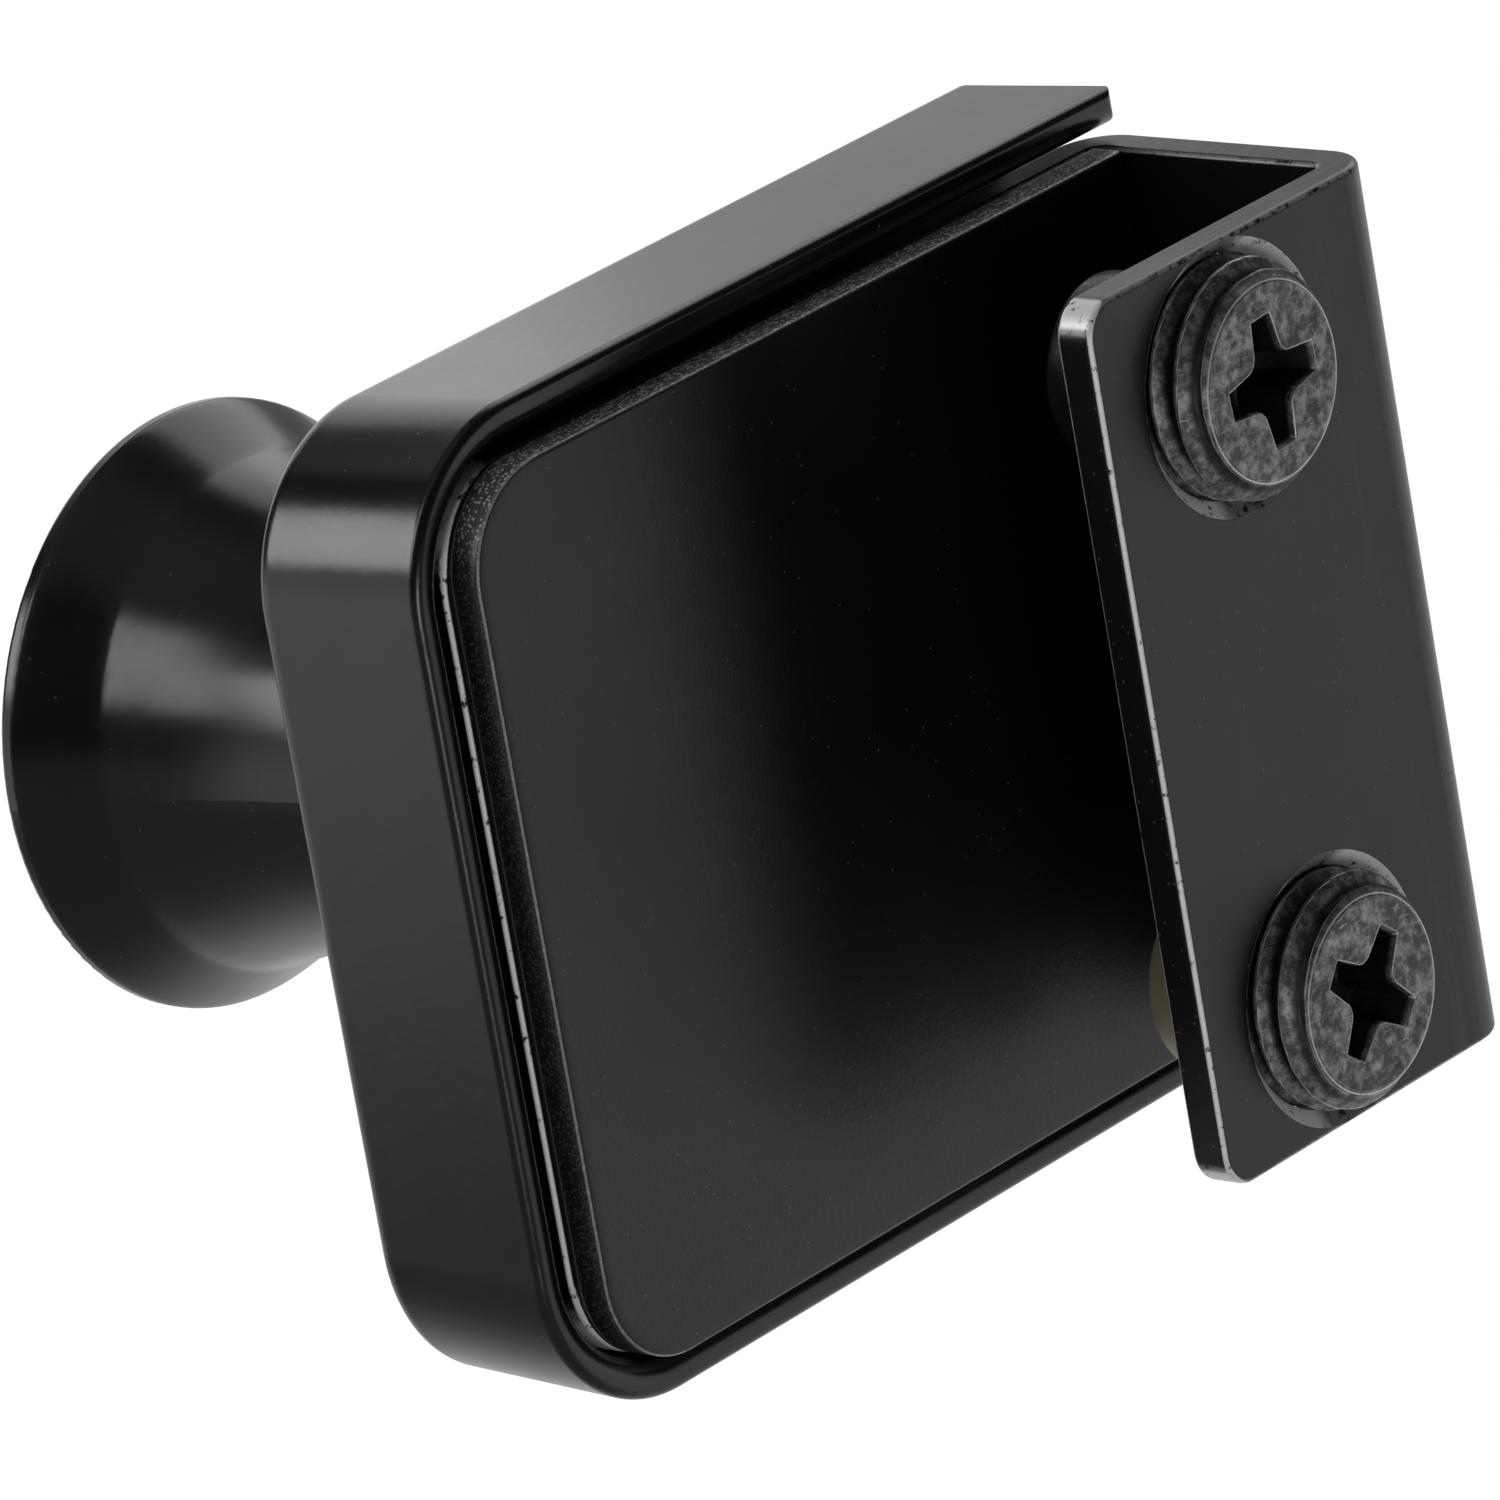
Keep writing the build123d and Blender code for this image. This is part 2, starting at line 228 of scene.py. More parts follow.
# Pieces


def rounded_end_loop(low_x, high_x, half_height, radius, inset):
    """A closed outline in X and Z: a rectangle inset by a distance on all sides, with its two corners at the
    high end rounded by what is left of the radius. All insets give matching points."""
    arc_steps = 24
    run_steps = 12
    radius = radius - inset
    low_x, high_x, half_height = low_x + inset, high_x - inset, half_height - inset
    quarter = np.linspace(0, math.pi / 2, arc_steps + 1)
    corner_x = high_x - radius + radius * np.sin(quarter)
    corner_z = half_height - radius + radius * np.cos(quarter)
    corner = np.stack([corner_x, corner_z], 1)
    run_x = np.linspace(low_x, high_x - radius, run_steps, endpoint=False)
    top = np.stack([run_x, np.full(run_steps, half_height)], 1)
    end = np.stack([np.full(1, high_x), np.zeros(1)], 1)
    upper = np.concatenate([top, corner])
    lower = upper[::-1] * (1, -1)
    side_z = np.linspace(-half_height, half_height, run_steps + 1)[1:-1]
    side = np.stack([np.full(len(side_z), low_x), side_z], 1)
    return np.concatenate([upper, end, lower, side])


def pad_piece(sizes):
    """The rubber pad: the outline of a rounded-end plate, carried down from the middle of its face, round a
    softened edge, down its side and back to the middle of its underside."""
    face_rings, edge_steps, back_rings = 8, 4, 4
    low, high = corners("glass_pad")
    edge = sizes.pad_edge
    face_margin = 4 * edge
    quarter = np.linspace(0, math.pi / 2, edge_steps + 1)
    insets = np.concatenate([[face_margin], edge * (1 - np.sin(quarter)), [0, 0]])
    depths = np.concatenate(
        [[high[1]], high[1] - edge * (1 - np.cos(quarter)), [(low[1] + high[1]) / 2, low[1]]]
    )
    loops = np.stack(
        [rounded_end_loop(low[0], high[0], high[2], sizes.pad_corner, inset) for inset in insets]
    )
    middle = np.array([(low[0] + high[0]) / 2, 0])
    face = middle + (loops[0] - middle) * np.linspace(0, 1, face_rings + 1)[:-1, None, None]
    back = middle + (loops[-1] - middle) * np.linspace(1, 0, back_rings + 1)[1:, None, None]
    outline = np.concatenate([face, loops, back])
    depth = np.concatenate([np.full(face_rings, high[1]), depths, np.full(back_rings, low[1])])
    depth = np.broadcast_to(depth[:, None], outline.shape[:2])
    grid = np.stack([outline[..., 0], depth, outline[..., 1]], axis=-1)
    return surface_piece("rubber_pad", grid, SHARP_ANGLE)


def recess_outline(sizes):
    """One quarter of the cross recess, from the middle of one arm's tip to the middle of the next, turned
    four times. An arm's side is the line from its tip's corner towards its width at the middle of the cross,
    and the arc between two arms touches both of their sides. A point's first number runs along the first
    arm and its second one across it, and the points' angles rise all the way round."""
    arc_points, tip_points, side_points = 17, 4, 9
    reach = sizes.recess_span / 2
    tip = sizes.recess_tip_width / 2
    root = sizes.recess_root_width / 2
    slope = (root - tip) / reach
    crossing = np.full(2, root / (1 + slope))
    along = np.array([1, -slope]) / math.hypot(1, slope)
    diagonal = np.full(2, math.sqrt(0.5))
    half_angle = math.acos(along @ diagonal)
    touch = crossing + along * sizes.recess_corner / math.tan(half_angle)
    centre = crossing + diagonal * sizes.recess_corner / math.sin(half_angle)
    start = math.atan2(*(touch - centre)[::-1])
    end = math.atan2(*(touch - centre))
    arc_angle = np.linspace(start % (2 * math.pi), end % (2 * math.pi), arc_points)[1:-1]
    arc = centre + sizes.recess_corner * np.stack([np.cos(arc_angle), np.sin(arc_angle)], 1)
    tip_half = np.stack([np.full(tip_points, reach), np.linspace(0, tip, tip_points)], 1)
    side = np.linspace([reach, tip], touch, side_points)[1:]
    first_half = np.concatenate([tip_half, side])
    second_half = first_half[::-1, ::-1]
    quarter = np.concatenate([first_half, arc, second_half])[:-1]
    turns = np.arange(4) * math.pi / 2
    turn = np.stack([np.cos(turns), -np.sin(turns), np.sin(turns), np.cos(turns)], 1).reshape(4, 2, 2)
    return np.einsum("kij,nj->kni", turn, quarter).reshape(-1, 2)


def clamp_screw_piece(side, sizes, soft):
    """A clamp screw. Its side is a turned surface whose radius is the smallest of three heights: the thread,
    which falls from a flat crest by the tangent of 60 degrees with the distance from the helix and stops at
    the root, the run at the tip, which rises from the root at 45 degrees, and the run at the end, which
    falls to the end face. That face goes from its circle to the outline of the cross recess, then down the
    recess's leaning walls to a shallow point."""
    thread_rows, face_rings = 121, 6
    helix_start = 0.55
    flank_angle = math.radians(60)
    face_inset = 0.08 * MM
    lip = 0.05 * MM
    wall_shares = np.array([1, 0.86, 0.62, 0])
    wall_depths = sizes.recess_depth * np.array([0, 0.6, 1, 1.15]) + (lip, 0, 0, 0)
    low, high = corners(side + "_clamp_screw")
    centre_x, centre_z = (low[0] + high[0]) / 2, (low[2] + high[2]) / 2
    crest = (high[2] - low[2]) / 2
    root = crest - sizes.thread_depth
    cup_back = corners(side + "_pressure_cup")[1][1]
    turn = sizes.upper_turn if side == "upper" else sizes.lower_turn
    outline = recess_outline(sizes)
    angles = np.arctan2(outline[:, 1], outline[:, 0])

    spigot = np.array([
        (0, low[1]),
        (soft.spigot_head - soft.fit_gap, low[1]),
        (soft.spigot_head, low[1] + soft.fit_gap),
        (soft.spigot_head, cup_back - soft.cup_lip - soft.fit_gap),
        (soft.spigot_neck, cup_back - soft.cup_lip - soft.fit_gap),
        (soft.spigot_neck, cup_back + soft.fit_gap),
        (root, cup_back + soft.fit_gap),
    ])
    tip = turned_grid(spigot, centre_x, centre_z, angles + turn)

    depth = np.linspace(cup_back + soft.fit_gap, high[1], thread_rows)[:, None]
    phase = ((depth - high[1]) / sizes.pitch - angles / (2 * math.pi) + helix_start) % 1
    from_crest = np.abs(phase - 0.5) * sizes.pitch
    crest_flat = sizes.pitch / 16
    thread = crest - np.clip((from_crest - crest_flat) * math.tan(flank_angle), 0, sizes.thread_depth)
    end_run = sizes.face_radius + (high[1] - depth) * (crest - sizes.face_radius) / sizes.end_run
    tip_run = root + (depth - depth[0])
    radius = np.minimum(np.minimum(thread, end_run), tip_run)
    shaft = np.stack([
        centre_x + radius * np.sin(angles + turn),
        depth + 0 * radius,
        centre_z + radius * np.cos(angles + turn),
    ], axis=-1)

    def face_points(plan, level):
        """Places points of the recess's own plan at a level, turned about the screw's axis."""
        along_z = plan[..., 0] * math.cos(turn) - plan[..., 1] * math.sin(turn)
        along_x = plan[..., 0] * math.sin(turn) + plan[..., 1] * math.cos(turn)
        return np.stack([centre_x + along_x, level + 0 * along_x, centre_z + along_z], axis=-1)

    outer = np.stack([np.cos(angles), np.sin(angles)], 1) * (radius[-1][:, None] - face_inset)
    mouth = outline * (1 + lip / np.linalg.norm(outline, axis=1, keepdims=True))
    across = np.linspace(0, 1, face_rings)[:, None, None]
    face = face_points(outer + (mouth - outer) * across, high[1])
    walls = face_points(outline * wall_shares[:, None, None], high[1] - wall_depths[:, None])
    grid = np.concatenate([tip, shaft[1:-1], shaft[-1:] - np.array([0, lip, 0]), face, walls])
    return surface_piece(side + "_threaded_screw", grid, THREAD_SHARP_ANGLE)


def turned_piece(name, node, profile):
    """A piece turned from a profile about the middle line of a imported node."""
    low, high = corners(node)
    angles = np.linspace(0, 2 * math.pi, TURNED_STEPS, endpoint=False)
    grid = turned_grid(profile, (low[0] + high[0]) / 2, (low[2] + high[2]) / 2, angles)
    return surface_piece(name, grid, SHARP_ANGLE)


def cup_piece(side, soft):
    """A nylon cup: a turned profile with rounded outer edges and an undercut pocket."""
    mouth_rounding = 0.08 * MM
    pocket_rounding = 0.1 * MM
    node = side + "_pressure_cup"
    low, high = corners(node)
    radius = (high[2] - low[2]) / 2
    mouth = soft.spigot_neck + soft.fit_gap
    pocket = soft.spigot_head + soft.fit_gap
    profile = rounded_chain(
        [
            (0, low[1]),
            (radius, low[1]),
            (radius, high[1]),
            (mouth, high[1]),
            (mouth, high[1] - soft.cup_lip),
            (pocket, high[1] - soft.cup_lip),
            (pocket, low[1] + soft.cup_floor),
            (0, low[1] + soft.cup_floor),
        ],
        [soft.cup_edge / 2, soft.cup_edge, mouth_rounding, 0, 0, pocket_rounding],
    )
    return turned_piece(side + "_nylon_cup", node, profile)


def disc_piece(side, soft):
    """A tip's disc: a turned profile with softened edges, its face a touch hollow towards the middle."""
    hollow = 0.03 * MM
    hollow_share = 0.8
    hollow_rounding = 0.5 * MM
    node = side + "_grip_disc"
    low, high = corners(node)
    radius = (high[2] - low[2]) / 2
    profile = rounded_chain(
        [
            (0, low[1] + hollow),
            (radius * hollow_share, low[1]),
            (radius, low[1]),
            (radius, high[1]),
            (0, high[1]),
        ],
        [hollow_rounding, soft.disc_edge, soft.disc_edge / 2],
    )
    return turned_piece(side + "_tip_disc", node, profile)


# Shader building


def feed(tree, socket, value):
    """Links an input socket to another node's output, or sets it to a value."""
    if isinstance(value, bpy.types.NodeSocket):
        tree.links.new(value, socket)
    else:
        socket.default_value = value


class Nodes:
    """Short calls for adding and linking the nodes of one tree."""

    def __init__(self, tree):
        self.tree = tree

    def add(self, kind, inputs=None, **settings):
        """A node with its settings, and its inputs set to values or linked to other nodes' outputs."""
        node = self.tree.nodes.new("ShaderNode" + kind)
        for key, value in settings.items():
            setattr(node, key, value)
        for key, value in (inputs or {}).items():
            feed(self.tree, node.inputs[key], value)
        return node

    def math(self, operation, *values, clamp=False):
        """The output of a Math node."""
        return self.add("Math", dict(enumerate(values)), operation=operation, use_clamp=clamp).outputs[0]

    def ramp(self, value, low, high, to_low=0.0, to_high=1.0):
        """A value that runs from to_low to to_high, smoothly, as the input runs from low to high."""
        inputs = {"Value": value, "From Min": low, "From Max": high, "To Min": to_low, "To Max": to_high}
        return self.add("MapRange", inputs, interpolation_type="SMOOTHSTEP").outputs["Result"]

    def ramp_around(self, value, middle, softness, to_low=0.0, to_high=1.0):
        """A ramp whose input runs from a softness below a middle to a softness above it."""
        low, high = self.math("SUBTRACT", middle, softness), self.math("ADD", middle, softness)
        return self.ramp(value, low, high, to_low, to_high)

    def mix(self, share, first, second):
        """The output of a colour mix."""
        return self.add("Mix", {0: share, 6: first, 7: second}, data_type="RGBA").outputs[2]

    def noise(self, vector, scale, detail=3.0, roughness=0.55):
        """The factor of a noise texture."""
        inputs = {"Vector": vector, "Scale": scale, "Detail": detail, "Roughness": roughness}
        return self.add("TexNoise", inputs).outputs["Fac"]

    def product(self, value, *factors):
        """The product of two or more values."""
        for factor in factors:
            value = self.math("MULTIPLY", value, factor)
        return value

    def largest(self, value, *others):
        """The largest of two or more values."""
        for other in others:
            value = self.math("MAXIMUM", value, other)
        return value

    def dot(self, first, second):
        """The dot product of two vectors."""
        inputs = {0: first, 1: second}
        return self.add("VectorMath", inputs, operation="DOT_PRODUCT").outputs["Value"]

    def parts(self, vector):
        """The X, Y and Z parts of a vector."""
        return self.add("SeparateXYZ", {0: vector}).outputs

    def facing(self):
        """The X, Y and Z parts of the direction that the surface faces."""
        return self.parts(self.add("NewGeometry").outputs["Normal"])

    def stretched(self, vector, scale, turn=(0.0, 0.0, 0.0)):
        """A position turned and stretched, for streaks and scratches."""
        return self.add("Mapping", {"Vector": vector, "Rotation": turn, "Scale": scale}).outputs[0]

    def object_position(self):
        """Object coordinates."""
        return self.add("TexCoord").outputs["Object"]


def shader_group(name, inputs, outputs):
    """An empty shader group, from its inputs' defaults and its outputs' kinds. Returns its tree, its input
    node and its output node."""
    tree = bpy.data.node_groups.new(name, "ShaderNodeTree")
    for socket, default in inputs.items():
        kind = "NodeSocketVector" if isinstance(default, tuple) else "NodeSocketFloat"
        tree.interface.new_socket(socket, in_out="INPUT", socket_type=kind).default_value = default
    for socket, kind in outputs.items():
        tree.interface.new_socket(socket, in_out="OUTPUT", socket_type="NodeSocket" + kind)
    return tree, tree.nodes.new("NodeGroupInput"), tree.nodes.new("NodeGroupOutput")


def edge_wear_group():
    """Where an outer edge is rubbed bare: how far the normal of a rounded copy of the surface leans away
    from the true one, broken up by noise and cut at a threshold."""
    least_lean, full_lean = 0.02, 0.09
    softness = 0.08
    tree, given, result = shader_group(
        "edge_wear",
        {"Radius": 0.1 * MM, "Amount": 0.5, "Noise Scale": 3000.0},
        {"Mask": "Float", "Normal": "Vector"},
    )
    nodes = Nodes(tree)
    rounded = nodes.add("Bevel", {"Radius": given.outputs["Radius"]}, samples=8).outputs[0]
    true_normal = nodes.add("NewGeometry").outputs["True Normal"]
    edge = nodes.math("SUBTRACT", 1.0, nodes.dot(rounded, true_normal))
    patches = nodes.noise(nodes.object_position(), given.outputs["Noise Scale"], 4.0, 0.65)
    least = nodes.math("SUBTRACT", 1.0, given.outputs["Amount"])
    keep = nodes.ramp_around(patches, least, softness)
    mask = nodes.math("MULTIPLY", nodes.ramp(edge, least_lean, full_lean), keep, clamp=True)
    tree.links.new(mask, result.inputs["Mask"])
    tree.links.new(rounded, result.inputs["Normal"])
    return tree


def round_edge_group():
    """Where a rounded edge is rubbed: the shading normal leans between Low and High along one chosen axis,
    and noise breaks the line up."""
    low_softness, high_softness, patch_softness = 0.08, 0.05, 0.06
    tree, given, result = shader_group(
        "round_edge",
        {"Axis": (0, 0, 1), "Low": 0.3, "High": 0.9, "Amount": 0.6, "Noise Scale": 2500.0},
        {"Mask": "Float"},
    )
    nodes = Nodes(tree)
    normal = nodes.add("NewGeometry").outputs["Normal"]
    lean = nodes.math("ABSOLUTE", nodes.dot(normal, given.outputs["Axis"]))
    rises = nodes.ramp_around(lean, given.outputs["Low"], low_softness)
    falls = nodes.ramp_around(lean, given.outputs["High"], high_softness, 1.0, 0.0)
    patches = nodes.noise(nodes.object_position(), given.outputs["Noise Scale"], 4.0, 0.65)
    least = nodes.math("SUBTRACT", 1.0, given.outputs["Amount"])
    keep = nodes.ramp_around(patches, least, patch_softness)
    tree.links.new(nodes.product(rises, falls, keep), result.inputs["Mask"])
    return tree


def speckle_group():
    """Small specks: cells of a Voronoi pattern whose distance from their middle is under the size, kept
    where each cell's own random value is under the share."""
    defaults = {"Scale": 4000.0, "Size": 0.25, "Share": 0.3}
    tree, given, result = shader_group("specks", defaults, {"Mask": "Float"})
    nodes = Nodes(tree)
    cells = nodes.add("TexVoronoi", {"Vector": nodes.object_position(), "Scale": given.outputs["Scale"]})
    own = nodes.add("SeparateColor", {0: cells.outputs["Color"]}).outputs[0]
    near = nodes.math("LESS_THAN", cells.outputs["Distance"], given.outputs["Size"])
    kept = nodes.math("LESS_THAN", own, given.outputs["Share"])
    tree.links.new(nodes.product(near, kept), result.inputs["Mask"])
    return tree


def finish_grain_group():
    """Unevenness of a finish: two noises, one broad and one fine. Gives a roughness between two limits, a
    height for a bump, and the broad noise by itself for cloudy colour."""
    broad_share = 0.7
    least_blend, most_blend = 0.35, 0.65
    tree, given, result = shader_group(
        "finish_grain",
        {"Broad Scale": 120.0, "Fine Scale": 2500.0, "Low Roughness": 0.2, "High Roughness": 0.35},
        {"Roughness": "Float", "Height": "Float", "Patches": "Float"},
    )
    nodes = Nodes(tree)
    position = nodes.object_position()
    broad = nodes.noise(position, given.outputs["Broad Scale"], 4.0, 0.6)
    fine = nodes.noise(position, given.outputs["Fine Scale"], 2.0, 0.5)
    blend = nodes.math("ADD", nodes.product(broad, broad_share), nodes.product(fine, 1 - broad_share))
    inputs = {"Value": blend, "From Min": least_blend, "From Max": most_blend,
              "To Min": given.outputs["Low Roughness"], "To Max": given.outputs["High Roughness"]}
    roughness = nodes.add("MapRange", inputs).outputs["Result"]
    tree.links.new(roughness, result.inputs["Roughness"])
    tree.links.new(fine, result.inputs["Height"])
    tree.links.new(broad, result.inputs["Patches"])
    return tree


EFFECT_MAKERS = {
    "edge_wear": edge_wear_group,
    "round_edge": round_edge_group,
    "specks": speckle_group,
    "finish_grain": finish_grain_group,
}
effects = {}


def shared(name):
    """A shared effect, built when it is first asked for."""
    if name not in effects:
        effects[name] = EFFECT_MAKERS[name]()
    return effects[name]


def rgba(value):
    """A colour with full opacity."""
    return (*value, 1.0)


def grey(level):
    """A grey with full opacity."""
    return rgba([level] * 3)


class Finish(Nodes):
    """A material under construction, with its Principled shader."""

    def __init__(self, name, **sockets):
        material = bpy.data.materials.new(name)
        material.use_nodes = True
        super().__init__(material.node_tree)
        self.material = material
        self.shader = next(n for n in material.node_tree.nodes if n.type == "BSDF_PRINCIPLED")
        for key, value in sockets.items():
            self.set(key.replace("_", " ").title().replace("Ior", "IOR"), value)

    def set(self, socket, value):
        """Sets or links one of the shader's sockets."""
        feed(self.tree, self.shader.inputs[socket], value)

    def effect(self, name, **values):
        """Places a shared effect, and returns its outputs."""
        node = self.tree.nodes.new("ShaderNodeGroup")
        node.node_tree = shared(name)
        for key, value in values.items():
            feed(self.tree, node.inputs[key.replace("_", " ").title()], value)
        return node.outputs

    def grain(self, broad_scale, fine_scale, low_roughness, high_roughness):
        """Places the finish's grain and lets it set the roughness. Returns the effect's outputs."""
        outputs = self.effect("finish_grain", broad_scale=broad_scale, fine_scale=fine_scale,
                              low_roughness=low_roughness, high_roughness=high_roughness)
        self.set("Roughness", outputs["Roughness"])
        return outputs

    def cloudy(self, grain, colour, share):
        """A colour that drifts, with the broad patches of a grain, towards a share of itself."""
        return self.mix(grain["Patches"], rgba(colour), rgba([share * part for part in colour]))

    def bump(self, height, strength, distance, normal=None):
        """Adds a bump to the shader's normal."""
        inputs = {"Height": height, "Strength": strength, "Distance": distance}
        if normal is not None:
            inputs["Normal"] = normal
        self.set("Normal", self.add("Bump", inputs).outputs[0])


def knob_finish(colours):
    """Gloss black over turned metal: a smooth base with a slight orange peel, rubbed edges and dust."""
    finish = Finish("knob_gloss_black", ior=1.5, specular_ior_level=0.5)
    grain = finish.grain(260.0, 1800.0, 0.19, 0.24)
    wear = finish.effect("edge_wear", radius=0.15 * MM, amount=0.3, noise_scale=1500.0)
    dust = finish.effect("specks", scale=2600.0, size=0.12, share=0.12)
    dusty = finish.mix(dust["Mask"], rgba(colours.gloss_black), grey(0.05))
    finish.set("Base Color", finish.mix(finish.product(wear["Mask"], 0.25), dusty, grey(0.12)))
    finish.bump(grain["Height"], 0.12, 0.02 * MM)
    return finish.material


def tray_finish(colours):
    """Satin black over cast metal: fine orange peel, cloudy roughness, specks of dust and rubbed edges."""
    finish = Finish("tray_satin_black", ior=1.5, specular_ior_level=0.5)
    grain = finish.grain(180.0, 2200.0, 0.19, 0.24)
    wear = finish.effect("edge_wear", radius=0.2 * MM, amount=0.42, noise_scale=1400.0)
    dust = finish.effect("specks", scale=2200.0, size=0.11, share=0.15)
    dusty = finish.mix(dust["Mask"], rgba(colours.tray_black), grey(0.07))
    finish.set("Base Color", finish.mix(finish.product(wear["Mask"], 0.2), dusty, grey(0.14)))
    finish.bump(grain["Height"], 0.14, 0.02 * MM, wear["Normal"])
    return finish.material


def from_screw_axis(finish, at):
    """The distance from the nearer clamp screw's axis, from the parts of a position."""
    low, high = corners("upper_clamp_screw")
    middle = (low + high) / 2
    aside = finish.math("SUBTRACT", at["X"], float(middle[0]))
    above = finish.math("SUBTRACT", finish.math("ABSOLUTE", at["Z"]), float(middle[2]))
    squares = finish.math("ADD", finish.product(aside, aside), finish.product(above, above))
    return finish.math("SQRT", squares)


def channel_finish(colours):
    """Black plating over bent steel: semi-gloss faces, soft streaks beside the rear bend, brushed cut faces,
    dull countersinks, and edges rubbed to bare steel, most of all the free edges of both flanges."""
    between_flanges = 5 * MM
    bend_reach = 3 * MM
    streak_start, streak_end = 1 * MM, 6 * MM
    countersink_radius = 4.62 * MM
    finish = Finish("channel_black_steel", ior=1.5, specular_ior_level=0.45)
    grain = finish.grain(220.0, 2600.0, 0.26, 0.33)
    bare = rgba(colours.bare_steel)
    web_x = float(corners("clamp_channel")[0][0])
    position = finish.object_position()
    at = finish.parts(position)
    facing = finish.facing()
    rear = finish.math("GREATER_THAN", at["Y"], between_flanges)
    past_bend = finish.math("GREATER_THAN", at["X"], web_x + bend_reach)
    near_axis = finish.math("LESS_THAN", from_screw_axis(finish, at), countersink_radius)

    dust = finish.effect("specks", scale=2600.0, size=0.12, share=0.2)
    dusty = finish.mix(dust["Mask"], rgba(colours.steel_black), grey(0.08))
    long_streaks = finish.noise(finish.stretched(position, (1.0, 14.0, 0.06)), 700.0, 3.0, 0.6)
    beside_bend = finish.ramp(at["X"], web_x + streak_start, web_x + streak_end, 0.13, 0.0)
    outside = finish.ramp(facing["Y"], 0.1, 0.6)
    streaks = finish.product(finish.ramp(long_streaks, 0.45, 0.8), beside_bend, outside)
    streaked = finish.mix(streaks, dusty, (0.5, 0.48, 0.48, 1))
    cut_face = finish.math("GREATER_THAN", finish.math("ABSOLUTE", facing["Z"]), 0.97)
    fine_lines = finish.noise(finish.stretched(position, (0.08, 1.0, 1.0)), 5200.0, 3.0, 0.7)
    brushed = finish.product(cut_face, finish.ramp(fine_lines, 0.35, 0.7), 0.045)

    sharp = finish.effect("edge_wear", radius=0.1 * MM, amount=0.56, noise_scale=1600.0)
    long_edges = finish.effect("round_edge", axis=(0, 0, 1), low=0.3, high=0.85, amount=0.56,
                               noise_scale=2600.0)
    free_edges = finish.effect("round_edge", axis=(1, 0, 0), low=0.2, high=0.9, amount=0.62,
                               noise_scale=2600.0)
    worn = finish.largest(
        finish.product(sharp["Mask"], 0.5),
        finish.product(long_edges["Mask"], 0.26),
        finish.product(free_edges["Mask"], past_bend, finish.ramp(rear, 0.0, 1.0, 0.9, 1.0)),
    )
    finish.set("Base Color", finish.mix(worn, finish.mix(brushed, streaked, bare), bare))
    finish.set("Metallic", finish.product(worn, 0.35))
    rougher = finish.math("ADD", grain["Roughness"], finish.product(worn, 0.2))
    finish.set("Roughness", finish.largest(rougher, finish.product(near_axis, rear, 0.8)))
    finish.bump(grain["Height"], 0.16, 0.02 * MM, sharp["Normal"])
    return finish.material


def rubber_finish(name, colours, wear_and_highlight_start, speck_and_highlight_level):
    """Matte black rubber: fine grain, pale specks that crowd on the cut faces, a painted highlight that makes
    the upward-facing cut face paler and more speckled, and an edge painted paler beyond a place along X,
    partly rubbed wear and partly a painted highlight along its rounding."""
    # Width over which the edge's wear and its painted highlight fade in.
    pale_edge_fade = 0.5 * MM
    finish = Finish(name, ior=1.5, specular_ior_level=0.5)
    grain = finish.grain(150.0, 5200.0, 0.30, 0.36)
    edge = finish.effect("edge_wear", radius=0.14 * MM, amount=0.7, noise_scale=5200.0)
    few = finish.effect("specks", scale=3000.0, size=0.13, share=0.2)
    fine = finish.effect("specks", scale=9000.0, size=0.45, share=0.55)
    facing = finish.facing()
    across = finish.math("ABSOLUTE", facing["Y"])
    side = finish.math("SUBTRACT", 1.0, finish.ramp(across, 0.2, 0.85))
    # Specks crowd on the cut faces; the upward-facing cut face also gets a painted highlight: paler, with
    # more specks.
    cut = finish.product(side, finish.ramp(facing["Z"], 0.3, 0.8, 0.08 * speck_and_highlight_level, speck_and_highlight_level))
    place_x = finish.parts(finish.object_position())["X"]
    # Painted highlight: the edge is painted paler towards the closed end, where the light falls, on top of
    # the rubbed wear.
    beyond = finish.ramp(place_x, wear_and_highlight_start - pale_edge_fade, wear_and_highlight_start + pale_edge_fade, 0.12, 0.9)
    # A painted highlight along the rounding of the edge.
    rim = finish.product(finish.ramp(across, 0.3, 0.5), finish.ramp(across, 0.85, 0.97, 0.5, 0.0))
    # Rubbed wear and the painted edge highlight together.
    rubbed = finish.product(finish.largest(edge["Mask"], rim), beyond, speck_and_highlight_level)
    crowded = finish.product(fine["Mask"], finish.largest(cut, rubbed))
    specks = finish.largest(crowded, finish.product(few["Mask"], 0.13))
    # Paling from rubbed wear and from the painted highlights.
    pale = finish.largest(rubbed, finish.product(cut, 0.16))
    # The speck colour is also the colour of the painted highlights.
    speck = rgba(colours.rubber_speck_and_highlight)
    edged = finish.mix(pale, finish.cloudy(grain, colours.rubber_black, 1.5), speck)
    finish.set("Base Color", finish.mix(specks, edged, speck))
    finish.bump(grain["Height"], 0.35, 0.02 * MM, edge["Normal"])
    return finish.material


